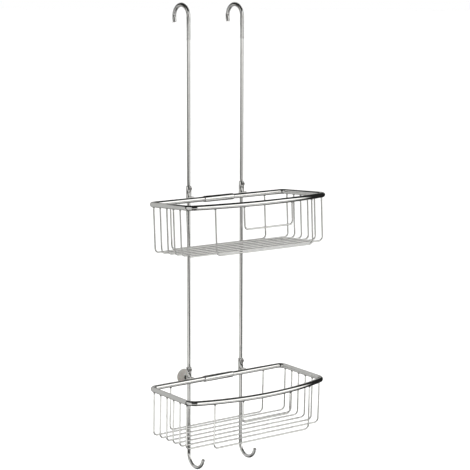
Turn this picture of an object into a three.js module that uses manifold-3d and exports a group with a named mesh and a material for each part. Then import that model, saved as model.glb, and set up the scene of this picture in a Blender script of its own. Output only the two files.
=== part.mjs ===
// Hanging shower caddy: two wire baskets clamped to a pair of long hooked rods.
// Millimetres. +Z is up, +Y is towards the panel that it hangs on, +X is to the right seen from the front.
// The origin is where it hangs: midway between the two top hooks, at the inside of their crowns.

import * as THREE from 'three';
import Module from 'manifold-3d';
import { mergeVertices } from 'three/addons/utils/BufferGeometryUtils.js';

const wasm = await Module();
wasm.setup();

// ---------------------------------------------------------------- driving dimensions

// rods
const ROD_DIAMETER = 6;
const ROD_SPACING = 119; // between the two rods' centre-lines
const ROD_STRAIGHT = 787; // straight run between the top hook's bend and the bottom hook's bend
const TOP_HOOK_BEND = 21.2; // radius to the centre-line
const TOP_HOOK_SWEEP = 188; // degrees
const TOP_HOOK_TAIL = 6.5; // straight end after the bend
const LOW_HOOK_BEND = 21.4; // radius to the centre-line
const LOW_HOOK_SWEEP = 157; // degrees
const LOW_HOOK_TAIL = 6.5; // straight end after the bend

// soft tube pulled over each top hook
const HOSE_WALL = 0.7;
const HOSE_ON_STRAIGHT = 39.5; // how far it reaches down the straight run
const HOSE_PAST_TIP = 1.5; // how far it overhangs the rod's end

// basket rims, bent from round tube
const RIM_DIAMETER = 9;
const RIM_BACK_WIDTH = 300; // between the side rails' centre-lines, at the back
const RIM_FRONT_WIDTH = 300; // the same at the front
const RIM_SIDE_DEPTH = 118; // back rail to front corner
const RIM_FRONT_BOW = 27.7; // how far the front rail swells forward of its corners
const RIM_BACK_CORNER = 11.5; // bend radius
const RIM_FRONT_CORNER = 17.4; // bend radius
const RIM_BUTT_GAP = 1; // between the rim tube's two ends, inside the joining sleeve
const LOWER_RIM_HEIGHT = 136.4; // lower rim above the start of the bottom hooks' bend
const RIM_SPACING = 328.8; // lower rim to upper rim
const UPPER_TILT = -3.1; // degrees about the back rail; below 0 lifts the front rail
const LOWER_TILT = 1.8; // degrees
const FRONT_RAIL_POINTS = 9; // places that the bowed front rail is bent through

// joining sleeve at the middle of each back rail
const JOINER_LENGTH = 66;
const JOINER_WALL = 0.9;

// basket wires
const WIRE_DIAMETER = 2.8;
const WIRE_DROP = 83.5; // rim centre-line to floor wire centre-line
const WIRE_BEND = 8; // radius to the centre-line
const SIDE_WIRES = 6; // wires that hang from the two side rails
const FIRST_SIDE_WIRE = 11.4; // forward of the back rail
const LAST_SIDE_WIRE = 9.4; // behind the front corner
const BACK_WIRE_WIDTH = 212.5; // between the legs of the wire on the back rail
const FRONT_WIRE_WIDTH = 214; // between the legs of the wire on the front rail

// guard loop below the front rail
const GUARD_WIDTH = 106;
const GUARD_DROP = 43;
const GUARD_BEND = 7; // radius to the centre-line

// clamps that hold a rim to the rods
const CLAMP_WALL = 1.5;
const CLAMP_BELOW_RIM = 4;
const CLAMP_ABOVE_RIM = 24;
const CLAMP_WEB_WIDTH = 12;
const CLAMP_WEB_HEIGHT = 10;
const CLAMP_SEAT_WALL = 1; // thinnest metal between the back rail's seat and the rod's bore
const SCREW_SHANK_DIAMETER = 4;
const SCREW_HEAD_DIAMETER = 6.4;
const SCREW_HEAD_HEIGHT = 1.2;
const SCREW_CROWN_HEIGHT = 0.4; // bevelled top of the head
const SCREW_CROWN_DIAMETER = 4.2; // flat inside the bevel
const SCREW_ABOVE_RIM = 20;
const SCREW_SLOT_WIDTH = 0.9;
const SCREW_SLOT_DEPTH = 0.6;

// suction cup behind the lower basket's left clamp
const CUP_DIAMETER = 28;
const CUP_DEPTH = 7.5; // neck end to lip
const CUP_HOLLOW = 3.5; // depth of the hollow behind the lip
const CUP_LIP_WIDTH = 2;
const CUP_NECK_DIAMETER = 9;
const CUP_NECK_LENGTH = 3;
const CUP_ABOVE_RIM = 4;
const CUP_NECK_FLARE = 1.5; // how far the neck widens where it meets the skirt
const CUP_SKIRT_DEPTH = 2; // neck to the skirt's shoulder
const CUP_SHOULDER = 0.75; // shoulder's radius as a share of the lip's
const CUP_FLOOR = 0.6; // radius at which the hollow turns flat, as a share of the lip's
const CUP_EDGE = 1; // height of the upright edge round the lip
const STUD_PLATE = 7; // side of the square plate
const STUD_PLATE_THICKNESS = 4;
const STUD_PIN_DIAMETER = 3.4;
const STUD_PIN_LENGTH = 3;

// clearances
const GAP = 0.3; // between pieces that touch
const ROD_CLEARANCE = 0.3; // round the rod, in hoses and clamps
const CUT_MARGIN = 1; // how far a cutting shape reaches past what it cuts

// mesh fineness
const BEND_STEP = 15; // degrees between the rings of a bend
const ROD_SIDES = 12;
const RIM_SIDES = 16;
const WIRE_SIDES = 8;
const CLAMP_SIDES = 16;
const CUP_SIDES = 28;

// ---------------------------------------------------------------- places worked out from them

const rodRadius = ROD_DIAMETER / 2;
const hoseInner = rodRadius + ROD_CLEARANCE;
const hoseOuter = hoseInner + HOSE_WALL;
const rimRadius = RIM_DIAMETER / 2;
const wireRadius = WIRE_DIAMETER / 2;
const clampInner = rodRadius + ROD_CLEARANCE;
const clampOuter = clampInner + CLAMP_WALL;

// back rail's centre-line to the rod's centre-line
const rodBehindRim = rimRadius + GAP + CLAMP_SEAT_WALL + clampInner;

const rodY = -TOP_HOOK_BEND;
const topBendZ = hoseOuter - TOP_HOOK_BEND;
const lowBendZ = topBendZ - ROD_STRAIGHT;
const rimY = rodY - rodBehindRim;
const lowerRimZ = lowBendZ + LOWER_RIM_HEIGHT;
const upperRimZ = lowerRimZ + RIM_SPACING;
const wireTop = -rimRadius - GAP;
const wirePitch = (RIM_SIDE_DEPTH - LAST_SIDE_WIRE - FIRST_SIDE_WIRE) / (SIDE_WIRES - 1);

// ---------------------------------------------------------------- materials

const metal = (name, color, roughness) => new THREE.MeshStandardMaterial({ name, color, roughness, metalness: 1 });
const soft = (name, color, roughness) => new THREE.MeshStandardMaterial({ name, color, roughness, metalness: 0 });

const rodChrome = () => metal('rod_chrome', 0xd6d7d5, 0.08);
const rimChrome = () => metal('rim_chrome', 0xdcdcda, 0.07);
const wireChrome = () => metal('wire_chrome', 0xd2d2cf, 0.12);
const clampChrome = () => metal('clamp_chrome', 0xc9c9c6, 0.15);
const screwSteel = () => metal('screw_steel', 0x6d6d6a, 0.35);
const hosePlastic = () => soft('hose_plastic', 0xd9d9d4, 0.25);
const cupRubber = () => soft('cup_rubber', 0xa9a7a2, 0.45);
const studPlastic = () => soft('stud_plastic', 0x3d3b39, 0.5);

// ---------------------------------------------------------------- swept tubes

// A path that is followed station by station, so that a straight run needs no rings of its own.
class Route extends THREE.Curve {
  constructor(stations) {
    super();
    this.stations = stations;
  }

  getPoint(t, target = new THREE.Vector3()) {
    return target.copy(this.stations[Math.round(t * (this.stations.length - 1))]);
  }

  getPointAt(u, target) {
    return this.getPoint(u, target);
  }

  getSpacedPoints() {
    return this.stations.map((station) => station.clone());
  }

  getTangentAt(u, target = new THREE.Vector3()) {
    const last = this.stations.length - 1;
    const here = Math.round(u * last);
    const before = this.stations[Math.max(here - 1, 0)];
    const after = this.stations[Math.min(here + 1, last)];
    const into = this.stations[here].clone().sub(before).normalize();
    const out = after.clone().sub(this.stations[here]).normalize();
    return target.copy(into.add(out)).normalize();
  }
}

// Stations of a round bend about a centre, from one angle to another, in the plane of u and v.
function bend(centre, radius, u, v, fromDegrees, toDegrees) {
  const steps = Math.max(2, Math.ceil(Math.abs(toDegrees - fromDegrees) / BEND_STEP));
  return Array.from({ length: steps + 1 }, (_, i) => {
    const angle = THREE.MathUtils.degToRad(fromDegrees + ((toDegrees - fromDegrees) * i) / steps);
    const point = centre.clone().addScaledVector(u, radius * Math.cos(angle));
    return point.addScaledVector(v, radius * Math.sin(angle));
  });
}

// Stations of a path through corner points, each corner rounded to its own radius (0 keeps the point).
function roundedPath(corners) {
  return corners.flatMap(({ at, radius }, i) => {
    if (!radius) {
      return [at];
    }
    const back = corners[i - 1].at.clone().sub(at).normalize();
    const ahead = corners[i + 1].at.clone().sub(at).normalize();
    const half = back.angleTo(ahead) / 2;
    const middle = back.clone().add(ahead).normalize();
    const centre = at.clone().addScaledVector(middle, radius / Math.sin(half));
    const u = at.clone().addScaledVector(back, radius / Math.tan(half)).sub(centre).normalize();
    const out = middle.clone().negate();
    const v = out.addScaledVector(u, -out.dot(u)).normalize();
    return bend(centre, radius, u, v, 0, 180 - THREE.MathUtils.radToDeg(2 * half));
  });
}

function ring(radius, sides) {
  return Array.from({ length: sides }, (_, i) => {
    const angle = (i / sides) * 2 * Math.PI;
    return new THREE.Vector2(radius * Math.cos(angle), radius * Math.sin(angle));
  });
}

// A round bar along the stations, or a hollow tube where an inner radius is given.
function sweep(stations, radius, sides, innerRadius) {
  const section = new THREE.Shape(ring(radius, sides));
  if (innerRadius) {
    section.holes.push(new THREE.Path(ring(innerRadius, sides)));
  }
  const steps = stations.length - 1;
  return new THREE.ExtrudeGeometry(section, { steps, extrudePath: new Route(stations) });
}

const vec = (x, y, z) => new THREE.Vector3(x, y, z);
const alongX = vec(1, 0, 0);
const alongY = vec(0, 1, 0);
const alongZ = vec(0, 0, 1);

// ---------------------------------------------------------------- solids

function toSolid(geometry) {
  const bare = geometry.clone();
  bare.deleteAttribute('normal');
  bare.deleteAttribute('uv');
  const merged = mergeVertices(bare);
  return new wasm.Manifold(
    new wasm.Mesh({
      numProp: 3,
      vertProperties: new Float32Array(merged.attributes.position.array),
      triVerts: new Uint32Array(merged.index.array),
    }),
  );
}

function toGeometry(solid) {
  const mesh = solid.getMesh();
  const geometry = new THREE.BufferGeometry();
  geometry.setAttribute('position', new THREE.BufferAttribute(mesh.vertProperties, 3));
  geometry.setIndex(new THREE.BufferAttribute(mesh.triVerts, 1));
  geometry.computeVertexNormals();
  return geometry;
}

// A turned piece from [radius, height] pairs, its axis along Z.
function turned(profile, sides) {
  return new THREE.LatheGeometry(profile.map(([r, z]) => new THREE.Vector2(r, z)), sides).rotateX(Math.PI / 2);
}

function piece(name, geometry, material, x = 0, y = 0, z = 0) {
  const mesh = new THREE.Mesh(geometry, material);
  mesh.name = name;
  mesh.position.set(x, y, z);
  return mesh;
}

// ---------------------------------------------------------------- rods and their hoses

// Stations of the top hook, from its tip over the crown to where the straight run starts.
function topHook(tailLength) {
  const centre = vec(0, 0, topBendZ);
  const curve = bend(centre, TOP_HOOK_BEND, alongY.clone().negate(), alongZ, TOP_HOOK_SWEEP, 0);
  const tip = curve[0].clone();
  const sweepAngle = THREE.MathUtils.degToRad(TOP_HOOK_SWEEP);
  tip.addScaledVector(alongY, tailLength * Math.sin(sweepAngle));
  tip.addScaledVector(alongZ, tailLength * Math.cos(sweepAngle));
  return [tip, ...curve];
}

// Stations of the bottom hook, from the end of the straight run to its tip.
function lowHook() {
  const centre = vec(0, rodY - LOW_HOOK_BEND, lowBendZ);
  const curve = bend(centre, LOW_HOOK_BEND, alongY, alongZ.clone().negate(), 0, LOW_HOOK_SWEEP);
  const sweepAngle = THREE.MathUtils.degToRad(LOW_HOOK_SWEEP);
  const tip = curve.at(-1).clone();
  tip.addScaledVector(alongY, -LOW_HOOK_TAIL * Math.sin(sweepAngle));
  tip.addScaledVector(alongZ, -LOW_HOOK_TAIL * Math.cos(sweepAngle));
  return [...curve, tip];
}

function rod(name, x) {
  const stations = [...topHook(TOP_HOOK_TAIL), ...lowHook()];
  return piece(name, sweep(stations, rodRadius, ROD_SIDES), rodChrome(), x);
}

function hose(name, x) {
  const stations = topHook(TOP_HOOK_TAIL + HOSE_PAST_TIP);
  stations.push(vec(0, rodY, topBendZ - HOSE_ON_STRAIGHT));
  return piece(name, sweep(stations, hoseOuter, ROD_SIDES, hoseInner), hosePlastic(), x);
}

// ---------------------------------------------------------------- basket pieces
// Each is made about its own basket's rim: the back rail's middle is at the origin of the basket's group.

// Circle that the front rail follows through its two corners.
const bowRadius = ((RIM_FRONT_WIDTH / 2) ** 2 + RIM_FRONT_BOW ** 2) / (2 * RIM_FRONT_BOW);
const bowCentreY = -RIM_SIDE_DEPTH - RIM_FRONT_BOW + bowRadius;

// The front rail's place at a distance to the side of the middle.
const frontRailY = (x) => bowCentreY - Math.sqrt(bowRadius ** 2 - x ** 2);

// Half the distance between the side rails at a depth forward of the back rail.
const sideRailX = (depth) =>
  RIM_BACK_WIDTH / 2 + (((RIM_FRONT_WIDTH - RIM_BACK_WIDTH) / 2) * depth) / RIM_SIDE_DEPTH;

function rim(name) {
  const frontHalf = RIM_FRONT_WIDTH / 2;
  const backHalf = RIM_BACK_WIDTH / 2;
  const front = Array.from({ length: FRONT_RAIL_POINTS }, (_, i) => {
    const x = frontHalf * (1 - (2 * (i + 1)) / (FRONT_RAIL_POINTS + 1));
    return { at: vec(x, frontRailY(x), 0), radius: 0 };
  });
  const stations = roundedPath([
    { at: vec(RIM_BUTT_GAP / 2, 0, 0), radius: 0 },
    { at: vec(backHalf, 0, 0), radius: RIM_BACK_CORNER },
    { at: vec(frontHalf, -RIM_SIDE_DEPTH, 0), radius: RIM_FRONT_CORNER },
    ...front,
    { at: vec(-frontHalf, -RIM_SIDE_DEPTH, 0), radius: RIM_FRONT_CORNER },
    { at: vec(-backHalf, 0, 0), radius: RIM_BACK_CORNER },
    { at: vec(-RIM_BUTT_GAP / 2, 0, 0), radius: 0 },
  ]);
  return piece(name, sweep(stations, rimRadius, RIM_SIDES), rimChrome());
}

function joiner(name) {
  const inner = rimRadius + GAP;
  const stations = [vec(-JOINER_LENGTH / 2, 0, 0), vec(JOINER_LENGTH / 2, 0, 0)];
  return piece(name, sweep(stations, inner + JOINER_WALL, RIM_SIDES, inner), rimChrome());
}

// A wire bent to a U: down from the rim, across and up again.
function uWire(name, halfWidth, y, drop, bendRadius) {
  const stations = roundedPath([
    { at: vec(-halfWidth, y, wireTop), radius: 0 },
    { at: vec(-halfWidth, y, -drop), radius: bendRadius },
    { at: vec(halfWidth, y, -drop), radius: bendRadius },
    { at: vec(halfWidth, y, wireTop), radius: 0 },
  ]);
  return piece(name, sweep(stations, wireRadius, WIRE_SIDES), wireChrome());
}

// Width and place of every floor wire, from the back rail to the front rail.
function floorWires() {
  const side = Array.from({ length: SIDE_WIRES }, (_, i) => {
    const depth = FIRST_SIDE_WIRE + wirePitch * i;
    return { halfWidth: sideRailX(depth), y: -depth };
  });
  const back = { halfWidth: BACK_WIRE_WIDTH / 2, y: 0 };
  const front = { halfWidth: FRONT_WIRE_WIDTH / 2, y: frontRailY(FRONT_WIRE_WIDTH / 2) };
  return [back, ...side, front];
}

// A collar on the rod with a web that meets the back rail, drilled for its clamp screw.
function clamp(name, x) {
  const height = CLAMP_BELOW_RIM + CLAMP_ABOVE_RIM;
  const body = new THREE.CylinderGeometry(clampOuter, clampOuter, height, CLAMP_SIDES).rotateX(Math.PI / 2);
  body.translate(0, rodBehindRim, (CLAMP_ABOVE_RIM - CLAMP_BELOW_RIM) / 2);
  const boreLength = height + 2 * CUT_MARGIN;
  const bore = new THREE.CylinderGeometry(clampInner, clampInner, boreLength, CLAMP_SIDES).rotateX(Math.PI / 2);
  bore.translate(0, rodBehindRim, (CLAMP_ABOVE_RIM - CLAMP_BELOW_RIM) / 2);
  const webDepth = rodBehindRim - clampInner;
  const web = new THREE.BoxGeometry(CLAMP_WEB_WIDTH, webDepth, CLAMP_WEB_HEIGHT);
  web.translate(0, webDepth / 2, -CLAMP_BELOW_RIM + CLAMP_WEB_HEIGHT / 2);
  const seatLength = Math.max(CLAMP_WEB_WIDTH, 2 * clampOuter) + 2 * CUT_MARGIN;
  const seat = new THREE.CylinderGeometry(rimRadius + GAP, rimRadius + GAP, seatLength, RIM_SIDES);
  seat.rotateZ(Math.PI / 2);
  const drill = new THREE.CylinderGeometry(
    SCREW_SHANK_DIAMETER / 2 + GAP,
    SCREW_SHANK_DIAMETER / 2 + GAP,
    rodBehindRim,
    ROD_SIDES,
  );
  drill.translate(0, rodBehindRim / 2, SCREW_ABOVE_RIM);
  const solid = toSolid(body)
    .add(toSolid(web))
    .subtract(toSolid(seat))
    .subtract(toSolid(bore))
    .subtract(toSolid(drill));
  return piece(name, toGeometry(solid), clampChrome(), x);
}

// A slotted screw through the front of the collar; its tip stops just short of the rod.
function clampScrew(name, x) {
  const headBase = clampOuter + GAP;
  const headTop = headBase + SCREW_HEAD_HEIGHT;
  const tip = rodRadius + GAP;
  const profile = [
    [0, tip],
    [SCREW_SHANK_DIAMETER / 2, tip],
    [SCREW_SHANK_DIAMETER / 2, headBase],
    [SCREW_HEAD_DIAMETER / 2, headBase],
    [SCREW_HEAD_DIAMETER / 2, headTop - SCREW_CROWN_HEIGHT],
    [SCREW_CROWN_DIAMETER / 2, headTop],
    [0, headTop],
  ];
  const slot = new THREE.BoxGeometry(SCREW_HEAD_DIAMETER + CUT_MARGIN, SCREW_SLOT_WIDTH, 2 * SCREW_SLOT_DEPTH);
  slot.translate(0, 0, headTop);
  const solid = toSolid(turned(profile, ROD_SIDES)).subtract(toSolid(slot));
  const geometry = toGeometry(solid).rotateX(Math.PI / 2);
  return piece(name, geometry, screwSteel(), x, rodBehindRim, SCREW_ABOVE_RIM);
}

// The wirework is tilted about its back rail; the clamps stay upright on the rods.
function basket(prefix, z, tilt) {
  const wirework = new THREE.Group();
  wirework.rotation.x = THREE.MathUtils.degToRad(tilt);
  wirework.add(rim(`${prefix}_rim`));
  wirework.add(joiner(`${prefix}_rim_joiner`));
  floorWires().forEach(({ halfWidth, y }, i) => {
    wirework.add(uWire(`${prefix}_wire_${i + 1}`, halfWidth, y, WIRE_DROP, WIRE_BEND));
  });
  wirework.add(uWire(`${prefix}_guard_loop`, GUARD_WIDTH / 2, frontRailY(GUARD_WIDTH / 2), GUARD_DROP, GUARD_BEND));
  const group = new THREE.Group();
  group.position.set(0, rimY, z);
  group.add(wirework);
  for (const [side, x] of [['left', -ROD_SPACING / 2], ['right', ROD_SPACING / 2]]) {
    group.add(clamp(`${prefix}_${side}_clamp`, x));
    group.add(clampScrew(`${prefix}_${side}_screw`, x));
  }
  return group;
}

// ---------------------------------------------------------------- suction cup

const studFoot = rodBehindRim + clampOuter + GAP;
const neckStart = studFoot + STUD_PLATE_THICKNESS + GAP;
const pinRadius = STUD_PIN_DIAMETER / 2;

// Square plate with a pin that the cup's neck is pushed on to; made along +Z.
function stud(name) {
  const plate = new THREE.BoxGeometry(STUD_PLATE, STUD_PLATE, STUD_PLATE_THICKNESS);
  plate.translate(0, 0, STUD_PLATE_THICKNESS / 2);
  const length = STUD_PLATE_THICKNESS + GAP + STUD_PIN_LENGTH;
  const pin = new THREE.CylinderGeometry(pinRadius, pinRadius, length, ROD_SIDES).rotateX(Math.PI / 2);
  pin.translate(0, 0, length / 2);
  const mesh = piece(name, toGeometry(toSolid(plate).add(toSolid(pin))), studPlastic());
  mesh.position.set(-ROD_SPACING / 2, studFoot, CUP_ABOVE_RIM);
  mesh.rotation.x = -Math.PI / 2;
  return mesh;
}

// A soft cup whose lip faces the panel; made along +Z from the end of its neck.
function suctionCup(name) {
  const lip = CUP_DIAMETER / 2;
  const neck = CUP_NECK_DIAMETER / 2;
  const socket = pinRadius + GAP;
  const profile = [
    [0, STUD_PIN_LENGTH + GAP],
    [socket, STUD_PIN_LENGTH + GAP],
    [socket, 0],
    [neck, 0],
    [neck, CUP_NECK_LENGTH - CUP_EDGE],
    [neck + CUP_NECK_FLARE, CUP_NECK_LENGTH],
    [lip * CUP_SHOULDER, CUP_NECK_LENGTH + CUP_SKIRT_DEPTH],
    [lip, CUP_DEPTH - CUP_EDGE],
    [lip, CUP_DEPTH],
    [lip - CUP_LIP_WIDTH, CUP_DEPTH],
    [lip * CUP_FLOOR, CUP_DEPTH - CUP_HOLLOW],
    [0, CUP_DEPTH - CUP_HOLLOW],
  ];
  const mesh = piece(name, turned(profile, CUP_SIDES), cupRubber());
  mesh.position.set(-ROD_SPACING / 2, neckStart, CUP_ABOVE_RIM);
  mesh.rotation.x = -Math.PI / 2;
  return mesh;
}

// ---------------------------------------------------------------- assembly

const caddy = new THREE.Group();
for (const [side, x] of [['left', -ROD_SPACING / 2], ['right', ROD_SPACING / 2]]) {
  caddy.add(rod(`${side}_rod`, x));
  caddy.add(hose(`${side}_hook_sleeve`, x));
}
caddy.add(basket('upper', upperRimZ, UPPER_TILT));
const lowerBasket = basket('lower', lowerRimZ, LOWER_TILT);
lowerBasket.add(stud('cup_stud'));
lowerBasket.add(suctionCup('suction_cup'));
caddy.add(lowerBasket);

export default caddy;
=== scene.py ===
"""Studio look of a hanging shower caddy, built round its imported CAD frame.

Metres, +Z up, +Y towards the panel it hangs on, +X to the right. The origin is where it hangs.
"""

import math

import bmesh
import bpy
from mathutils import Matrix, Vector


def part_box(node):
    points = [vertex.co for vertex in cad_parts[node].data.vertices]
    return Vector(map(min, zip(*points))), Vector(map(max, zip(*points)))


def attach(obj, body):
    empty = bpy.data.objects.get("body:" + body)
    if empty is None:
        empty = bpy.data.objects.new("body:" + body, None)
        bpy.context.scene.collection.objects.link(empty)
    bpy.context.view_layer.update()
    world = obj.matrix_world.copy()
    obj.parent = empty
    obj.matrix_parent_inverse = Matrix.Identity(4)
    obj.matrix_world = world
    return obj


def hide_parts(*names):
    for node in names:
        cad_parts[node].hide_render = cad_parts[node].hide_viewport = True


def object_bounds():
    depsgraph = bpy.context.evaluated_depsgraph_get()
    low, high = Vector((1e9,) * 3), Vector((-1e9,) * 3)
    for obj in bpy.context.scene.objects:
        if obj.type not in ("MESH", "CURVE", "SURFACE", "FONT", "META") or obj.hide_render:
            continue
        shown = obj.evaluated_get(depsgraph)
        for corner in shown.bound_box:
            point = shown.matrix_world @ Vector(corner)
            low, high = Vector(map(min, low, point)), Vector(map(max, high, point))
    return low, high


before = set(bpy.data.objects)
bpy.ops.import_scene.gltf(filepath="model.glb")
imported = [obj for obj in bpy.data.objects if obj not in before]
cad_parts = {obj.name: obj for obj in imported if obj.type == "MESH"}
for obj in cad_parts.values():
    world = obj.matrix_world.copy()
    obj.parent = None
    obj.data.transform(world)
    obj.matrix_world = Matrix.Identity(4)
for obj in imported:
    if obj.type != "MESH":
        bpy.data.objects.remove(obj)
cad_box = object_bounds()

MM = 0.001
X = Vector((1, 0, 0))
Y = Vector((0, 1, 0))
Z = Vector((0, 0, 1))

# ---------------------------------------------------------------- sizes

ROD_RADIUS = 3 * MM
TOP_HOOK_BEND = 21.2 * MM
TOP_HOOK_SWEEP = 188  # degrees
TOP_HOOK_TAIL = 6.5 * MM
LOW_HOOK_BEND = 21.4 * MM
LOW_HOOK_SWEEP = 157  # degrees
LOW_HOOK_TAIL = 6.5 * MM

SLEEVE_INNER = 3.15 * MM
SLEEVE_OUTER = 4 * MM
SLEEVE_PAST_TIP = 1.5 * MM
SLEEVE_ON_STRAIGHT = 39.5 * MM

RIM_RADIUS = 4.5 * MM
RIM_HALF_WIDTH = 150 * MM
RIM_SIDE_DEPTH = 118 * MM
RIM_FRONT_BOW = 27.7 * MM
RIM_BACK_CORNER = 11.5 * MM
RIM_FRONT_CORNER = 17.4 * MM
RIM_BUTT_GAP = 1 * MM
RIM_BOW_REACH = 132 * MM  # to each side, short of the front corners' bends
RIM_BOW_STEPS = 34
JOINER_LENGTH = 66 * MM
JOINER_RADIUS = 5.7 * MM
JOINER_BORE = 4.65 * MM
JOINER_ROLL = 1.6 * MM  # length of each rolled end

WIRE_RADIUS = 1.4 * MM
WIRE_DROP = 83.5 * MM
WIRE_BEND = 8 * MM
GUARD_DROP = 43 * MM
GUARD_BEND = 7 * MM
GUARD_HALF = 53 * MM
BACK_WIRE_HALF = 106.25 * MM
FRONT_WIRE_HALF = 107 * MM
FIRST_SIDE_WIRE = 11.4 * MM
LAST_SIDE_WIRE = 9.4 * MM  # behind the front corner
SIDE_WIRES = 6
BASKET_TILT = {"upper": -3.1, "lower": 1.8}  # degrees; below 0 lifts the front rail

CLAMP_BORE = 3.2 * MM
CLAMP_RADIUS = 4.8 * MM
CLAMP_EDGE = 0.7 * MM
SADDLE_HEIGHT = 10 * MM
SADDLE_EDGE = 0.8 * MM
SADDLE_START = 0.3 * MM  # behind the back rail's centre-line
SEAT_RADIUS = 4.6 * MM
SEAT_HALF_LENGTH = 8 * MM  # longer than the saddle is wide

SCREW_SHANK_RADIUS = 2 * MM
SCREW_HEAD_HEIGHT = 1.2 * MM
SCREW_DOME_HEIGHT = 0.7 * MM
SCREW_FLAT_SHARE = 0.62  # the dome's flat top, as a share of the head's radius
SCREW_SLOT_WIDTH = 0.9 * MM
SCREW_SLOT_DEPTH = 0.6 * MM
SCREW_SLOT_TURN = 35  # degrees

STUD_PLATE_DEPTH = 4 * MM
STUD_PLATE_EDGE = 0.8 * MM
STUD_PIN_START = 2 * MM
STUD_PIN_RADIUS = 1.7 * MM
STUD_PIN_TIP_RADIUS = 1.4 * MM
STUD_PIN_TIP_HEIGHT = 0.4 * MM

CUP_NECK_RADIUS = 4.5 * MM
CUP_SOCKET_RADIUS = 2 * MM
CUP_SOCKET_DEPTH = 3.3 * MM
CUP_HOLLOW_DEPTH = 3.5 * MM

BEND_STEP = 4  # degrees between the rings of a bend
BAR_SIDES = 28
WIRE_SIDES = 18
COLLAR_SIDES = 40
SEAT_SIDES = 48
SCREW_SIDES = 36
PIN_SIDES = 24
CUP_SIDES = 64
ROUND_STEPS = 4  # of the collar's rounded edges
DOME_STEPS = 5

SIDES = ("left", "right")
BASKETS = ("upper", "lower")


# ---------------------------------------------------------------- paths


class Station:
    """A place on a path, and the direction the path has there."""

    def __init__(self, place, along):
        self.place = Vector(place)
        self.along = Vector(along).normalized()


def bend(centre, radius, u, v, start, stop):
    """Stations of a round bend from one angle to another, in degrees, in the plane of u and v."""
    steps = max(3, math.ceil(abs(stop - start) / BEND_STEP))
    sense = 1 if stop > start else -1
    stations = []
    for i in range(steps + 1):
        angle = math.radians(start + (stop - start) * i / steps)
        place = centre + radius * (math.cos(angle) * u + math.sin(angle) * v)
        stations.append(Station(place, sense * (math.cos(angle) * v - math.sin(angle) * u)))
    return stations


def rounded_path(corners):
    """Stations through corner points, each (place, radius); a radius of 0 keeps the point."""
    places = [Vector(place) for place, _ in corners]
    stations = []
    for i, (place, radius) in enumerate(corners):
        place = Vector(place)
        into = place - places[max(i - 1, 0)]
        out = places[min(i + 1, len(places) - 1)] - place
        if radius == 0:
            stations.append(Station(place, into.normalized() + out.normalized()))
            continue
        back, ahead = -into.normalized(), out.normalized()
        half = back.angle(ahead) / 2
        middle = (back + ahead).normalized()
        centre = place + middle * (radius / math.sin(half))
        u = (place + back * (radius / math.tan(half)) - centre).normalized()
        v = (-middle - u * u.dot(-middle)).normalized()
        stations += bend(centre, radius, u, v, 0, 180 - math.degrees(2 * half))
    return stations


def beyond(station, distance):
    """A station straight on from another, or straight back where distance is negative."""
    return Station(station.place + station.along * distance, station.along)


# ---------------------------------------------------------------- meshes


def ring(station, radius, sides, upright):
    """Points round a station; upright is the normal of the plane that the path lies in."""
    side = station.along.cross(upright).normalized()
    points = []
    for i in range(sides):
        angle = 2 * math.pi * i / sides
        points.append(station.place + radius * (math.cos(angle) * side + math.sin(angle) * upright))
    return points


def skin(rings, looped=False):
    """A closed mesh through rings of equal count, capped at both ends unless it is looped."""
    mesh = bmesh.new()
    rows = [[mesh.verts.new(p) for p in points] for points in rings]
    pairs = list(zip(rows, rows[1:]))
    if looped:
        pairs.append((rows[-1], rows[0]))
    for a, b in pairs:
        for i in range(len(a)):
            j = (i + 1) % len(a)
            mesh.faces.new((a[i], a[j], b[j], b[i]))
    if not looped:
        for row in (rows[0], rows[-1]):
            mesh.faces.new(row)
    return mesh


def smooth(mesh, sharp=35):
    """Shades a bmesh smoothly, but for edges where faces meet at more than sharp degrees."""
    limit = math.radians(sharp)
    for face in mesh.faces:
        face.smooth = True
    for edge in mesh.edges:
        edge.smooth = edge.calc_face_angle(0) < limit


def finish_mesh(name, mesh, material, sharp=35):
    """Turns a bmesh into a smooth-shaded object."""
    bmesh.ops.recalc_face_normals(mesh, faces=mesh.faces)
    smooth(mesh, sharp)
    data = bpy.data.meshes.new(name)
    mesh.to_mesh(data)
    mesh.free()
    data.materials.append(material)
    made = bpy.data.objects.new(name, data)
    bpy.context.scene.collection.objects.link(made)
    return made


def place_piece(made, body, slot, *nodes):
    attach(made, body)
    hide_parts(*nodes)


BAR_END_LENGTH = 0.5 * MM
BAR_END = ((0, 0.80), (0.18, 0.92), (0.5, 0.985), (1, 1))  # share of that length, share of the radius


def bar(name, stations, radius, sides, upright, material):
    """A solid round bar whose two ends are slightly rounded over."""
    rings = []
    for share, width in BAR_END:
        station = beyond(stations[0], BAR_END_LENGTH * share)
        rings.append(ring(station, radius * width, sides, upright))
    for station in stations[1:-1]:
        rings.append(ring(station, radius, sides, upright))
    for share, width in reversed(BAR_END):
        station = beyond(stations[-1], -BAR_END_LENGTH * share)
        rings.append(ring(station, radius * width, sides, upright))
    return finish_mesh(name, skin(rings), material)


def hose(name, stations, inner, outer, sides, upright, material, lip=0.25 * MM):
    """A hollow tube with softly rounded ends."""
    first, last = stations[0], stations[-1]
    between = [beyond(first, lip), *stations[1:-1], beyond(last, -lip)]
    near_outer = (inner + 2 * outer) / 3
    near_inner = (2 * inner + outer) / 3
    rings = [ring(first, near_outer, sides, upright)]
    rings += [ring(s, outer, sides, upright) for s in between]
    rings.append(ring(last, near_outer, sides, upright))
    rings.append(ring(last, near_inner, sides, upright))
    rings += [ring(s, inner, sides, upright) for s in reversed(between)]
    rings.append(ring(first, near_inner, sides, upright))
    return finish_mesh(name, skin(rings, looped=True), material, sharp=60)


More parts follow.
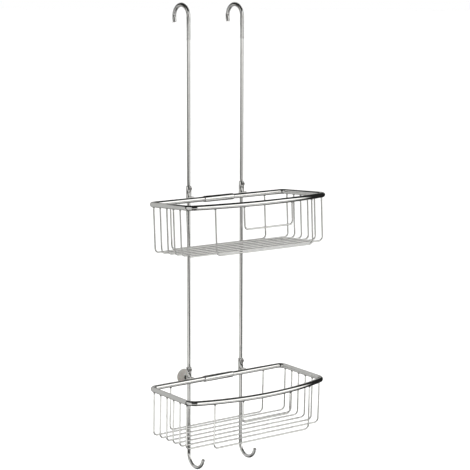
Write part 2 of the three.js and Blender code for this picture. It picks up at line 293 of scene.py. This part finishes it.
def lathe(profile, sides, origin, axis, across):
    """A turned bmesh.

    The profile is (radius, height) pairs that start and end on the axis, or a closed loop off it.
    """
    mesh = bmesh.new()
    third = axis.cross(across).normalized()
    rows = []
    for radius, height in profile:
        if radius == 0:
            rows.append([mesh.verts.new(origin + axis * height)])
            continue
        row = []
        for i in range(sides):
            angle = 2 * math.pi * i / sides
            spoke = math.cos(angle) * across + math.sin(angle) * third
            row.append(mesh.verts.new(origin + axis * height + spoke * radius))
        rows.append(row)
    pairs = list(zip(rows, rows[1:]))
    if len(rows[0]) > 1:
        pairs.append((rows[-1], rows[0]))
    for a, b in pairs:
        for i in range(sides):
            j = (i + 1) % sides
            corners = [a[i % len(a)], a[j % len(a)], b[j % len(b)], b[i % len(b)]]
            corners = list(dict.fromkeys(corners))
            if len(corners) > 2:
                mesh.faces.new(corners)
    return mesh


def rounded_block(low, high, radius, steps=4):
    """A box whose edges are all rounded over."""
    mesh = bmesh.new()
    bmesh.ops.create_cube(mesh, size=1)
    low, high = Vector(low), Vector(high)
    for vert in mesh.verts:
        vert.co = Vector((low[i] + (high[i] - low[i]) * (vert.co[i] + 0.5) for i in range(3)))
    bmesh.ops.bevel(
        mesh, geom=mesh.edges[:] + mesh.verts[:], offset=radius, segments=steps, profile=0.5, affect="EDGES"
    )
    return mesh


def boolean(target, tool_mesh, operation):
    """Joins a bmesh to an object, or cuts it out, and keeps the result as the object's own mesh."""
    data = bpy.data.meshes.new("tool")
    bmesh.ops.recalc_face_normals(tool_mesh, faces=tool_mesh.faces)
    tool_mesh.to_mesh(data)
    tool_mesh.free()
    tool = bpy.data.objects.new("tool", data)
    bpy.context.scene.collection.objects.link(tool)
    modifier = target.modifiers.new("boolean", "BOOLEAN")
    modifier.object = tool
    modifier.operation = operation
    modifier.solver = "EXACT"
    bpy.context.view_layer.update()
    evaluated = target.evaluated_get(bpy.context.evaluated_depsgraph_get())
    made = bpy.data.meshes.new_from_object(evaluated)
    target.modifiers.clear()
    target.data = made
    bpy.data.objects.remove(tool)
    mesh = bmesh.new()
    mesh.from_mesh(made)
    smooth(mesh)
    mesh.to_mesh(made)
    mesh.free()


# ---------------------------------------------------------------- node helpers


class Graph:
    """Adds nodes to a tree: a socket or a plain value may be given for each input."""

    def __init__(self, tree):
        self.tree = tree
        self.tree.nodes.clear()

    def add(self, kind, inputs=None, **settings):
        node = self.tree.nodes.new(kind)
        for key, value in settings.items():
            setattr(node, key, value)
        for key, value in (inputs or {}).items():
            if isinstance(value, bpy.types.NodeSocket):
                self.tree.links.new(value, node.inputs[key])
            else:
                node.inputs[key].default_value = value
        return node

    def math(self, operation, a, b=0.0, clamp=False):
        return self.add("ShaderNodeMath", {0: a, 1: b}, operation=operation, use_clamp=clamp).outputs[0]

    def ramp(self, value, low, high, to_low=0.0, to_high=1.0):
        inputs = {"Value": value, "From Min": low, "From Max": high, "To Min": to_low, "To Max": to_high}
        return self.add("ShaderNodeMapRange", inputs, interpolation_type="SMOOTHSTEP").outputs["Result"]

    def noise(self, vector, scale, detail=3.0, roughness=0.5):
        inputs = {"Vector": vector, "Scale": scale, "Detail": detail, "Roughness": roughness}
        return self.add("ShaderNodeTexNoise", inputs).outputs["Fac"]

    def mix(self, share, a, b):
        """Colour a where share is 0 and colour b where it is 1, by the node's own colour sockets."""
        return self.add("ShaderNodeMix", {0: share, 6: a, 7: b}, data_type="RGBA").outputs[2]

    def bump(self, height, distance, normal=None):
        inputs = {"Height": height, "Distance": distance, "Strength": 1.0}
        if normal is not None:
            inputs["Normal"] = normal
        return self.add("ShaderNodeBump", inputs).outputs["Normal"]

    def surface(self, kind, inputs):
        """Ends a material in a shader of this kind."""
        shader = self.add(kind, inputs)
        self.add("ShaderNodeOutputMaterial", {"Surface": shader.outputs[0]})


def new_material(name):
    """A material, its graph, and the socket that gives a place on the object, in metres."""
    material = bpy.data.materials.new(name)
    material.use_nodes = True
    graph = Graph(material.node_tree)
    return material, graph, graph.add("ShaderNodeTexCoord").outputs["Object"]


# ---------------------------------------------------------------- materials


def chrome(name, bright, dull, rough, peel):
    """Polished chrome plate: slight peel, fine pits, thin smears and dried drops."""
    material, g, spot = new_material(name)
    smear = g.ramp(g.noise(spot, 34, 4, 0.6), 0.46, 0.72)
    grain = g.noise(spot, 900, 3, 0.6)
    cells = g.add("ShaderNodeTexVoronoi", {"Vector": spot, "Scale": 260.0, "Randomness": 1.0})
    ring_out = g.ramp(cells.outputs["Distance"], 0.30, 0.24)
    ring_in = g.ramp(cells.outputs["Distance"], 0.14, 0.24)
    patches = g.ramp(g.noise(spot, 55, 2), 0.56, 0.66)
    drops = g.math("MULTIPLY", g.math("MULTIPLY", ring_out, ring_in), patches)
    soil = g.math("ADD", g.math("MULTIPLY", smear, 0.45), g.math("MULTIPLY", drops, 0.55), clamp=True)
    colour = g.mix(soil, bright, dull)
    roughness = g.math("ADD", g.math("MULTIPLY", grain, rough * 0.6), rough * 0.7)
    roughness = g.math("ADD", roughness, g.math("MULTIPLY", soil, rough * 1.6))
    normal = g.bump(g.noise(spot, 320, 2), peel)
    normal = g.bump(g.noise(spot, 2600, 2), peel * 0.12, normal=normal)
    g.surface(
        "ShaderNodeBsdfPrincipled",
        {
            "Base Color": colour,
            "Metallic": 1.0,
            "Roughness": roughness,
            "Specular Tint": (0.45, 0.45, 0.44, 1),
            "Normal": normal,
        },
    )
    return material


def clear_plastic(name):
    """Wall of a thin clear tube, faintly cloudy and scuffed, that looks denser where it is seen edge on; its
    near-black colour, nearly opaque towards the edges, is painted shade that draws dark rims.
    """
    material, g, spot = new_material(name)
    cloud = g.ramp(g.noise(spot, 120, 4, 0.6), 0.35, 0.75)
    scuff = g.ramp(g.noise(spot, 700, 4, 0.7), 0.55, 0.75)
    colour = g.mix(cloud, (0.035, 0.035, 0.033, 1), (0.09, 0.09, 0.085, 1))
    roughness = g.math("ADD", g.math("MULTIPLY", scuff, 0.12), 0.05)
    normal = g.bump(g.noise(spot, 480, 3), 0.02 * MM)
    # Painted shade: towards the tube's edges the near-black colour turns nearly opaque and draws dark rims;
    # the cloud adds a little real haze.
    edge = g.add("ShaderNodeLayerWeight", {"Blend": 0.35}).outputs["Facing"]
    painted_rim_shade_and_cloud = g.ramp(edge, 0.45, 1.0, 0.03, 0.70)
    painted_rim_shade_and_cloud = g.math("ADD", painted_rim_shade_and_cloud, g.math("MULTIPLY", cloud, 0.06), clamp=True)
    g.surface(
        "ShaderNodeBsdfPrincipled",
        {
            "Base Color": colour,
            "Roughness": roughness,
            "IOR": 1.45,
            "Alpha": painted_rim_shade_and_cloud,
            "Normal": normal,
        },
    )
    return material


def rubber(name):
    """Soft grey moulded rubber that scatters some light inside, with dust and a fine grain."""
    material, g, spot = new_material(name)
    cloud = g.noise(spot, 150, 4, 0.6)
    dust = g.ramp(g.noise(spot, 620, 5, 0.65), 0.5, 0.72)
    colour = g.mix(cloud, (0.30, 0.29, 0.27, 1), (0.42, 0.41, 0.385, 1))
    colour = g.mix(g.math("MULTIPLY", dust, 0.35), colour, (0.55, 0.54, 0.51, 1))
    roughness = g.ramp(dust, 0, 1, 0.30, 0.55)
    normal = g.bump(g.noise(spot, 1500, 3), 0.04 * MM)
    g.surface(
        "ShaderNodeBsdfPrincipled",
        {
            "Base Color": colour,
            "Roughness": roughness,
            "Subsurface Weight": 0.25,
            "Subsurface Scale": 0.003,
            "Coat Weight": 0.1,
            "Coat Roughness": 0.3,
            "Normal": normal,
        },
    )
    return material


def dark_plastic(name):
    """Dark moulded plastic with a fine spark-eroded grain."""
    material, g, spot = new_material(name)
    grain = g.noise(spot, 1800, 4, 0.7)
    cloud = g.noise(spot, 200, 3)
    colour = g.mix(cloud, (0.030, 0.029, 0.028, 1), (0.060, 0.057, 0.054, 1))
    roughness = g.ramp(grain, 0.3, 0.7, 0.38, 0.58)
    g.surface(
        "ShaderNodeBsdfPrincipled",
        {"Base Color": colour, "Roughness": roughness, "Normal": g.bump(grain, 0.03 * MM)},
    )
    return material


def turned_steel(name):
    """Turned steel in two tones, with a fine grain."""
    material, g, spot = new_material(name)
    grain = g.noise(spot, 1400, 5, 0.7)
    stain = g.ramp(g.noise(spot, 420, 3), 0.4, 0.7)
    colour = g.mix(stain, (0.42, 0.41, 0.40, 1), (0.16, 0.155, 0.15, 1))
    roughness = g.ramp(grain, 0.3, 0.7, 0.22, 0.42)
    g.surface(
        "ShaderNodeBsdfPrincipled",
        {"Base Color": colour, "Metallic": 1.0, "Roughness": roughness, "Normal": g.bump(grain, 0.02 * MM)},
    )
    return material


ROD_CHROME = chrome("rod_chrome_plate", (0.93, 0.93, 0.915, 1), (0.80, 0.79, 0.765, 1), 0.045, 0.010 * MM)
RIM_CHROME = chrome("rim_chrome_plate", (0.94, 0.94, 0.925, 1), (0.81, 0.80, 0.775, 1), 0.040, 0.012 * MM)
WIRE_CHROME = chrome("wire_chrome_plate", (0.92, 0.92, 0.90, 1), (0.78, 0.77, 0.74, 1), 0.070, 0.010 * MM)
CLAMP_CHROME = chrome("clamp_chrome_plate", (0.92, 0.92, 0.905, 1), (0.78, 0.77, 0.74, 1), 0.060, 0.006 * MM)
SLEEVE_PLASTIC = clear_plastic("clear_sleeve_plastic")
CUP_RUBBER = rubber("soft_cup_rubber")
STUD_PLASTIC = dark_plastic("stud_moulded_plastic")
SCREW_STEEL = turned_steel("screw_turned_steel")


# ---------------------------------------------------------------- rods and sleeves


def middle(node):
    low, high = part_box(node)
    return (low + high) / 2


def top_hook(x, tail):
    """Stations from the top hook's tip over its crown to the start of the straight run."""
    centre = Vector((x, 0, SLEEVE_OUTER - TOP_HOOK_BEND))
    curve = bend(centre, TOP_HOOK_BEND, -Y, Z, TOP_HOOK_SWEEP, 0)
    return [beyond(curve[0], -tail), *curve]


def low_hook(node, x):
    """Stations from the end of the straight run to the bottom hook's tip."""
    low_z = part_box(node)[0].z + ROD_RADIUS + LOW_HOOK_BEND
    centre = Vector((x, -TOP_HOOK_BEND - LOW_HOOK_BEND, low_z))
    curve = bend(centre, LOW_HOOK_BEND, Y, -Z, 0, LOW_HOOK_SWEEP)
    return [*curve, beyond(curve[-1], LOW_HOOK_TAIL)]


def make_rod(side):
    node = f"{side}_rod"
    x = middle(node).x
    stations = top_hook(x, TOP_HOOK_TAIL) + low_hook(node, x)
    made = bar(f"{side}_rod_bar", stations, ROD_RADIUS, BAR_SIDES, X, ROD_CHROME)
    place_piece(made, "rods", "rod_chrome", node)


def make_sleeve(side):
    node = f"{side}_hook_sleeve"
    x = middle(node).x
    stations = top_hook(x, TOP_HOOK_TAIL + SLEEVE_PAST_TIP)
    foot = stations[-1].place - Z * SLEEVE_ON_STRAIGHT
    stations.append(Station(foot, -Z))
    made = hose(f"{side}_hook_tube", stations, SLEEVE_INNER, SLEEVE_OUTER, BAR_SIDES, X, SLEEVE_PLASTIC)
    place_piece(made, "rods", "hose_plastic", node)


# ---------------------------------------------------------------- baskets


def rim_origin(basket):
    """Middle of the back rail's centre-line."""
    return middle(f"{basket}_rim_joiner")


def wirework(basket):
    """Turns a place given from the back rail's middle into one on the tilted basket."""
    turn = Matrix.Rotation(math.radians(BASKET_TILT[basket]), 4, "X")
    return Matrix.Translation(rim_origin(basket)) @ turn


BOW_RADIUS = (RIM_HALF_WIDTH**2 + RIM_FRONT_BOW**2) / (2 * RIM_FRONT_BOW)
BOW_CENTRE = -RIM_SIDE_DEPTH - RIM_FRONT_BOW + BOW_RADIUS


def front_rail(x):
    """How far forward of the back rail the front rail's centre-line is, as a negative Y."""
    return BOW_CENTRE - math.sqrt(BOW_RADIUS**2 - x**2)


def make_rim(basket):
    """One loop of tube, from the middle of the back rail right round to it again."""
    front = []
    for i in range(RIM_BOW_STEPS + 1):
        x = RIM_BOW_REACH * (1 - 2 * i / RIM_BOW_STEPS)
        front.append(((x, front_rail(x), 0), 0))
    corners = [
        ((RIM_BUTT_GAP / 2, 0, 0), 0),
        ((RIM_HALF_WIDTH, 0, 0), RIM_BACK_CORNER),
        ((RIM_HALF_WIDTH, -RIM_SIDE_DEPTH, 0), RIM_FRONT_CORNER),
        *front,
        ((-RIM_HALF_WIDTH, -RIM_SIDE_DEPTH, 0), RIM_FRONT_CORNER),
        ((-RIM_HALF_WIDTH, 0, 0), RIM_BACK_CORNER),
        ((-RIM_BUTT_GAP / 2, 0, 0), 0),
    ]
    made = bar(f"{basket}_rim_tube", rounded_path(corners), RIM_RADIUS, BAR_SIDES, Z, RIM_CHROME)
    made.data.transform(wirework(basket))
    place_piece(made, f"{basket}_basket", "rim_chrome", f"{basket}_rim")


# Each rolled end of the joining sleeve: share of its length, radius.
JOINER_END = (
    (0, RIM_RADIUS + 0.35 * MM),
    (0.25, JOINER_RADIUS - 0.45 * MM),
    (0.6, JOINER_RADIUS - 0.12 * MM),
    (1, JOINER_RADIUS),
)


def make_joiner(basket):
    """The sleeve over the rim tube's butt joint, its ends rolled down on to the tube."""
    half = JOINER_LENGTH / 2
    profile = [(radius, -half + JOINER_ROLL * share) for share, radius in JOINER_END]
    profile += [(radius, half - JOINER_ROLL * share) for share, radius in reversed(JOINER_END)]
    profile += [(JOINER_BORE, half), (JOINER_BORE, -half)]
    sleeve = lathe(profile, BAR_SIDES, rim_origin(basket), X, Z)
    made = finish_mesh(f"{basket}_rim_joint_sleeve", sleeve, RIM_CHROME)
    place_piece(made, f"{basket}_basket", "rim_chrome", f"{basket}_rim_joiner")


# How a wire widens into its weld: millimetres below the rail's underside, share of the wire's radius.
WELD_FLARE = ((3.2, 1.0), (1.8, 1.03), (1.0, 1.14), (0.45, 1.36), (0.1, 1.62), (-0.5, 1.85), (-1.1, 1.9))


def weld_rings(end, along):
    """Rings from the plain wire up into the weld."""
    rings = []
    for below, share in WELD_FLARE:
        station = Station(end.place - Z * below * MM, along)
        rings.append(ring(station, WIRE_RADIUS * share, WIRE_SIDES, Y))
    return rings


def make_wire(name, node, basket, half, y, drop, radius):
    """A wire bent to a U, its two ends flared into the welds under the rim."""
    top = -RIM_RADIUS
    corners = [
        ((-half, y, top), 0),
        ((-half, y, -drop), radius),
        ((half, y, -drop), radius),
        ((half, y, top), 0),
    ]
    stations = rounded_path(corners)
    rings = weld_rings(stations[0], -Z)[::-1]
    rings += [ring(s, WIRE_RADIUS, WIRE_SIDES, Y) for s in stations[1:-1]]
    rings += weld_rings(stations[-1], Z)
    made = finish_mesh(name, skin(rings), WIRE_CHROME)
    made.data.transform(wirework(basket))
    place_piece(made, f"{basket}_basket", "wire_chrome", node)


def floor_wires():
    """Half width and Y of each floor wire, from the back rail to the front rail."""
    pitch = (RIM_SIDE_DEPTH - LAST_SIDE_WIRE - FIRST_SIDE_WIRE) / (SIDE_WIRES - 1)
    side = [(RIM_HALF_WIDTH, -FIRST_SIDE_WIRE - pitch * i) for i in range(SIDE_WIRES)]
    return [(BACK_WIRE_HALF, 0), *side, (FRONT_WIRE_HALF, front_rail(FRONT_WIRE_HALF))]


def make_wires(basket):
    for number, (half, y) in enumerate(floor_wires(), 1):
        name = f"{basket}_floor_wire_{number}"
        make_wire(name, f"{basket}_wire_{number}", basket, half, y, WIRE_DROP, WIRE_BEND)
    y = front_rail(GUARD_HALF)
    name = f"{basket}_guard_wire"
    make_wire(name, f"{basket}_guard_loop", basket, GUARD_HALF, y, GUARD_DROP, GUARD_BEND)


def make_clamp(basket, side):
    """A collar that slides on the rod, with a saddle that sits on the back rail."""
    node = f"{basket}_{side}_clamp"
    low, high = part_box(node)
    origin = rim_origin(basket)
    x = middle(node).x
    rod_y = -TOP_HOOK_BEND
    edge = []
    for i in range(ROUND_STEPS + 1):
        angle = math.pi / 2 * i / ROUND_STEPS
        edge.append((CLAMP_RADIUS - CLAMP_EDGE * (1 - math.sin(angle)), CLAMP_EDGE * (1 - math.cos(angle))))
    foot = [(radius, low.z + rise) for radius, rise in edge]
    crown = [(radius, high.z - rise) for radius, rise in reversed(edge)]
    profile = [(CLAMP_BORE, low.z), *foot, *crown, (CLAMP_BORE, high.z)]
    collar = lathe(profile, COLLAR_SIDES, Vector((x, rod_y, 0)), Z, X)
    made = finish_mesh(f"{basket}_{side}_clamp_collar", collar, CLAMP_CHROME)
    front = (low.x, origin.y + SADDLE_START, low.z)
    back = (high.x, rod_y - CLAMP_BORE, low.z + SADDLE_HEIGHT)
    boolean(made, rounded_block(front, back, SADDLE_EDGE), "UNION")
    ends = (-SEAT_HALF_LENGTH, SEAT_HALF_LENGTH)
    outline = [(0, ends[0]), (SEAT_RADIUS, ends[0]), (SEAT_RADIUS, ends[1]), (0, ends[1])]
    boolean(made, lathe(outline, SEAT_SIDES, origin + X * x, X, Z), "DIFFERENCE")
    place_piece(made, f"{basket}_basket", "clamp_chrome", node)


def make_screw(basket, side):
    """A slotted screw with a domed head, seen end on at the front of the collar."""
    node = f"{basket}_{side}_screw"
    low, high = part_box(node)
    centre = middle(node)
    length = high.y - low.y
    head = (high.x - low.x) / 2
    under_head = length - SCREW_HEAD_HEIGHT
    under_dome = length - SCREW_DOME_HEIGHT
    profile = [(0, 0), (SCREW_SHANK_RADIUS, 0), (SCREW_SHANK_RADIUS, under_head), (head, under_head)]
    for i in range(DOME_STEPS + 1):
        angle = math.pi / 2 * i / DOME_STEPS
        share = SCREW_FLAT_SHARE + (1 - SCREW_FLAT_SHARE) * math.cos(angle)
        profile.append((head * share, under_dome + SCREW_DOME_HEIGHT * math.sin(angle)))
    profile.append((0, length))
    screw = lathe(profile, SCREW_SIDES, Vector((centre.x, high.y, centre.z)), -Y, X)
    made = finish_mesh(f"{basket}_{side}_clamp_screw", screw, SCREW_STEEL)
    slot = bmesh.new()
    bmesh.ops.create_cube(slot, size=1)
    bmesh.ops.scale(slot, vec=(4 * head, 2 * SCREW_SLOT_DEPTH, SCREW_SLOT_WIDTH), verts=slot.verts)
    turn = Matrix.Rotation(math.radians(SCREW_SLOT_TURN), 3, "Y")
    bmesh.ops.rotate(slot, cent=(0, 0, 0), matrix=turn, verts=slot.verts)
    bmesh.ops.translate(slot, vec=(centre.x, low.y, centre.z), verts=slot.verts)
    boolean(made, slot, "DIFFERENCE")
    place_piece(made, f"{basket}_basket", "screw_steel", node)


# ---------------------------------------------------------------- suction cup


def make_stud():
    """A square plate behind the clamp, with a pin that the cup is pushed on to."""
    low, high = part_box("cup_stud")
    plate = rounded_block(low, (high.x, low.y + STUD_PLATE_DEPTH, high.z), STUD_PLATE_EDGE)
    made = finish_mesh("cup_stud_plate", plate, STUD_PLASTIC)
    centre = middle("cup_stud")
    length = high.y - low.y
    profile = [
        (0, STUD_PIN_START),
        (STUD_PIN_RADIUS, STUD_PIN_START),
        (STUD_PIN_RADIUS, length - STUD_PIN_TIP_HEIGHT),
        (STUD_PIN_TIP_RADIUS, length),
        (0, length),
    ]
    boolean(made, lathe(profile, PIN_SIDES, Vector((centre.x, low.y, centre.z)), Y, X), "UNION")
    place_piece(made, "lower_basket", "stud_plastic", "cup_stud")


def make_cup():
    """A soft cup: neck, thin flared skirt and a rounded lip that faces the panel."""
    low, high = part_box("suction_cup")
    centre = middle("suction_cup")
    lip = (high.x - low.x) / 2
    depth = high.y - low.y
    neck = CUP_NECK_RADIUS
    hollow = CUP_HOLLOW_DEPTH
    outside = [
        (neck - 0.4 * MM, 0),
        (neck, 0.4 * MM),
        (neck, 1.9 * MM),
        (neck + 0.5 * MM, 2.6 * MM),
        (neck + 1.6 * MM, 3.2 * MM),
        (lip * 0.56, 3.8 * MM),
        (lip * 0.70, 4.4 * MM),
        (lip * 0.80, 5.0 * MM),
        (lip * 0.89, 5.8 * MM),
        (lip * 0.96, 6.6 * MM),
        (lip, depth - 0.5 * MM),
        (lip - 0.1 * MM, depth - 0.1 * MM),
        (lip - 0.4 * MM, depth),
    ]
    inside = [
        (lip - 1.6 * MM, depth - 0.25 * MM),
        (lip * 0.78, depth - hollow * 0.40),
        (lip * 0.6, depth - hollow * 0.65),
        (lip * 0.4, depth - hollow * 0.86),
        (lip * 0.2, depth - hollow * 0.97),
        (0, depth - hollow),
    ]
    socket = [(0, CUP_SOCKET_DEPTH), (CUP_SOCKET_RADIUS, CUP_SOCKET_DEPTH), (CUP_SOCKET_RADIUS, 0)]
    origin = Vector((centre.x, low.y, centre.z))
    mesh = lathe(socket + outside + inside, CUP_SIDES, origin, Y, X)
    made = finish_mesh("suction_cup_skirt", mesh, CUP_RUBBER, sharp=50)
    place_piece(made, "lower_basket", "cup_rubber", "suction_cup")


# ---------------------------------------------------------------- studio

CAMERA_PLACE = (-1.8022, -2.3864, 0.0600)
CAMERA_LENS = 127.77  # millimetres, on the next sensor width
CAMERA_SENSOR = 36
CAMERA_TURN = -0.6631  # radians about Z, from looking along +Y
CAMERA_DIP = 0.1561  # radians below the horizon
CAMERA_ROLL = 0.0034
CAMERA_CLIP = (0.05, 100)

FLOOR_BELOW = 60 * MM  # under the lowest point of the caddy
FLOOR_RADIUS = 40

BACK_CARD = ((-0.9, 0.36, -1.1), (0.9, 0.36, -0.05))  # two opposite corners
BACK_CARD_GLOW = 0.50

LIGHT_AIM = (0, -0.1, -0.45)
SOFTBOX_SIZE = (1.6, 2.2)
SOFTBOXES = (("left_softbox", (-2.4, -1.6, 0.7), 36), ("right_softbox", (2.4, -1.2, 0.5), 24))  # place, watts
OVERHEAD_STRENGTH = 3.6
OVERHEAD_SPREAD = 60  # degrees


def make_camera():
    data = bpy.data.cameras.new("camera")
    data.lens = CAMERA_LENS
    data.sensor_width = CAMERA_SENSOR
    data.clip_start, data.clip_end = CAMERA_CLIP
    made = bpy.data.objects.new("camera", data)
    turn = Matrix.Rotation(CAMERA_TURN, 4, "Z") @ Matrix.Rotation(math.pi / 2 - CAMERA_DIP, 4, "X")
    made.matrix_world = Matrix.Translation(CAMERA_PLACE) @ turn @ Matrix.Rotation(CAMERA_ROLL, 4, "Z")
    bpy.context.scene.collection.objects.link(made)
    bpy.context.scene.camera = made


def make_floor():
    """A wide pale floor that the caddy hangs clear of, and that the chrome doesn't mirror."""
    mesh = bmesh.new()
    bmesh.ops.create_circle(mesh, cap_ends=True, segments=96, radius=FLOOR_RADIUS)
    bmesh.ops.translate(mesh, vec=(0, 0, cad_box[0].z - FLOOR_BELOW), verts=mesh.verts)
    material, g, spot = new_material("floor_paint")
    colour = g.mix(g.noise(spot, 3, 3), (0.90, 0.90, 0.895, 1), (0.93, 0.93, 0.925, 1))
    g.surface("ShaderNodeBsdfPrincipled", {"Base Color": colour, "Roughness": 0.9})
    floor = finish_mesh("studio_floor", mesh, material)
    floor.visible_glossy = False


def sideways(azimuth):
    """Unit vector level with the ground; azimuth 0 is -Y (the front) and 90 is +X, in degrees."""
    a = math.radians(azimuth)
    return (math.sin(a), -math.cos(a), 0)


# What stands round the caddy for the chrome to mirror, in the order in which one part is laid over another.
# Angles are in degrees, and azimuth 0 is -Y and 90 is +X. A part in brackets is its azimuth, half width,
# softness and brightness.
WHITE = 1.30
LOW_GREY = 0.64  # below the horizon
HORIZON_SOFT = 0.05  # sine of the elevation
LEFT_GREY = (-70, 40, 20, 0.66)
BAND_BRIGHTNESS = 0.02  # of a thin dark band all the way round, seen in the upright bars
BAND_AT = -9.4  # its elevation at azimuth 0
BAND_SLOPE = -0.057  # how fast it sinks to the right
BAND_HALF = 1.5
BAND_SOFT = 0.5
BAND_GROWTH = 0.018  # how fast it thickens to the left
LOW_WHITE = (-37, 62, 30, 1.0)
LOW_WHITE_SPAN = (-25, -17.2)  # lowest and highest elevation
FRONT_DARK = (-33, 27, 6, 0.015)
FRONT_DARK_GAP = (-26, 0)  # elevations between which it isn't there
FRONT_DARK_SOFT = 1
LOW_DARK = (-37, 105, 30, 0.012)
LOW_DARK_SPAN = (-17.2, -14.3)
SPAN_SOFT = 0.4
SIDE_DARKS = ((90, 25, 8, 0.02), (180, 68, 10, 0.03))
CEILING_FROM = 0.62  # sine of the elevation, as are the next ones
CEILING_SOFT = 0.04
CEILING = 0.02  # brightness
GROUND_FROM = -0.80
GROUND = 0.10  # brightness


def make_world():
    """Pale tent with dark gaps: what the chrome mirrors. The camera itself sees plain white."""
    world = bpy.data.worlds.new("studio")
    world.use_nodes = True
    bpy.context.scene.world = world
    g = Graph(world.node_tree)
    direction = g.add("ShaderNodeTexCoord").outputs["Generated"]
    parts = g.add("ShaderNodeSeparateXYZ", {"Vector": direction})
    level = g.add("ShaderNodeCombineXYZ", {"X": parts.outputs["X"], "Y": parts.outputs["Y"], "Z": 0.0})
    level = g.add("ShaderNodeVectorMath", {0: level.outputs[0]}, operation="NORMALIZE").outputs[0]
    rise = parts.outputs["Z"]
    shade = WHITE

    def over(shade, share, brightness):
        keep = g.math("SUBTRACT", 1.0, share)
        return g.math("ADD", g.math("MULTIPLY", shade, keep), g.math("MULTIPLY", share, brightness))

    def towards(azimuth, half, soft):
        facing = g.add("ShaderNodeVectorMath", {0: level, 1: sideways(azimuth)}, operation="DOT_PRODUCT")
        outer = math.cos(math.radians(half + soft / 2))
        inner = math.cos(math.radians(half - soft / 2))
        return g.ramp(facing.outputs["Value"], outer, inner)

    def lay(shade, part, elevations=1.0):
        """Lays a part over the shade, only as far as the share for its elevations."""
        azimuth, half, soft, brightness = part
        return over(shade, g.math("MULTIPLY", towards(azimuth, half, soft), elevations), brightness)

    shade = over(shade, g.ramp(rise, HORIZON_SOFT, -HORIZON_SOFT), LOW_GREY)
    shade = lay(shade, LEFT_GREY)

    turn = g.math("ARCTAN2", parts.outputs["X"], g.math("MULTIPLY", parts.outputs["Y"], -1.0))
    elevation = g.math("ARCSINE", rise)
    line = g.math("ADD", g.math("MULTIPLY", turn, BAND_SLOPE), math.radians(BAND_AT))
    off = g.math("ABSOLUTE", g.math("SUBTRACT", elevation, line))
    growth = g.math("MAXIMUM", g.math("MULTIPLY", turn, -BAND_GROWTH), 0.0)
    off = g.math("SUBTRACT", off, growth)
    outer, inner = math.radians(BAND_HALF + BAND_SOFT), math.radians(BAND_HALF - BAND_SOFT)
    shade = over(shade, g.ramp(off, outer, inner), BAND_BRIGHTNESS)

    def above(degrees, soft):
        return g.ramp(elevation, math.radians(degrees - soft), math.radians(degrees + soft))

    def between(low, high, soft):
        return g.math("SUBTRACT", above(low, soft), above(high, soft), clamp=True)

    shade = lay(shade, LOW_WHITE, between(*LOW_WHITE_SPAN, SPAN_SOFT))
    gap = between(*FRONT_DARK_GAP, FRONT_DARK_SOFT)
    shade = lay(shade, FRONT_DARK, g.math("SUBTRACT", 1.0, gap))
    shade = lay(shade, LOW_DARK, between(*LOW_DARK_SPAN, SPAN_SOFT))
    for part in SIDE_DARKS:
        shade = lay(shade, part)
    shade = over(shade, g.ramp(rise, CEILING_FROM - CEILING_SOFT, CEILING_FROM + CEILING_SOFT), CEILING)
    shade = over(shade, g.ramp(rise, GROUND_FROM + CEILING_SOFT, GROUND_FROM - CEILING_SOFT), GROUND)
    mirrored = g.add("ShaderNodeBackground", {"Color": (1, 0.995, 0.98, 1), "Strength": shade})
    seen = g.add("ShaderNodeBackground", {"Color": (1, 1, 1, 1), "Strength": 1.0})
    straight = g.add("ShaderNodeLightPath").outputs["Is Camera Ray"]
    mixed = g.add("ShaderNodeMixShader", {0: straight, 1: mirrored.outputs[0], 2: seen.outputs[0]})
    g.add("ShaderNodeOutputWorld", {"Surface": mixed.outputs[0]})


def make_card(name, low, high, brightness):
    """A plain glowing card that only the chrome sees."""
    mesh = bmesh.new()
    low, high = Vector(low), Vector(high)
    wide = Vector((high.x - low.x, high.y - low.y, 0))
    corners = (low, low + wide, high, high - wide)
    mesh.faces.new([mesh.verts.new(c) for c in corners])
    material, g, spot = new_material(f"{name}_glow")
    colour = g.mix(g.noise(spot, 2, 2), (1, 1, 0.985, 1), (0.94, 0.935, 0.92, 1))
    g.surface("ShaderNodeEmission", {"Color": colour, "Strength": brightness})
    card = finish_mesh(name, mesh, material)
    card.visible_camera = False
    card.visible_shadow = False
    card.visible_diffuse = False


def make_light(name, kind, energy):
    """A light that the chrome doesn't mirror."""
    data = bpy.data.lights.new(name, kind)
    data.energy = energy
    made = bpy.data.objects.new(name, data)
    made.visible_glossy = False
    bpy.context.scene.collection.objects.link(made)
    return made


def make_lights():
    for name, place, watts in SOFTBOXES:
        softbox = make_light(name, "AREA", watts)
        softbox.data.shape = "RECTANGLE"
        softbox.data.size, softbox.data.size_y = SOFTBOX_SIZE
        softbox.location = place
        softbox.rotation_mode = "QUATERNION"
        softbox.rotation_quaternion = (Vector(LIGHT_AIM) - Vector(place)).to_track_quat("-Z", "Y")
    overhead = make_light("overhead_light", "SUN", OVERHEAD_STRENGTH)
    overhead.data.angle = math.radians(OVERHEAD_SPREAD)


# ---------------------------------------------------------------- assembly

make_camera()
make_world()
make_floor()
make_card("back_card", *BACK_CARD, BACK_CARD_GLOW)
make_lights()
for side_name in SIDES:
    make_rod(side_name)
    make_sleeve(side_name)
for basket_name in BASKETS:
    make_rim(basket_name)
    make_joiner(basket_name)
    make_wires(basket_name)
    for side_name in SIDES:
        make_clamp(basket_name, side_name)
        make_screw(basket_name, side_name)
make_stud()
make_cup()

bpy.context.scene.view_settings.view_transform = "Standard"

bpy.context.view_layer.update()
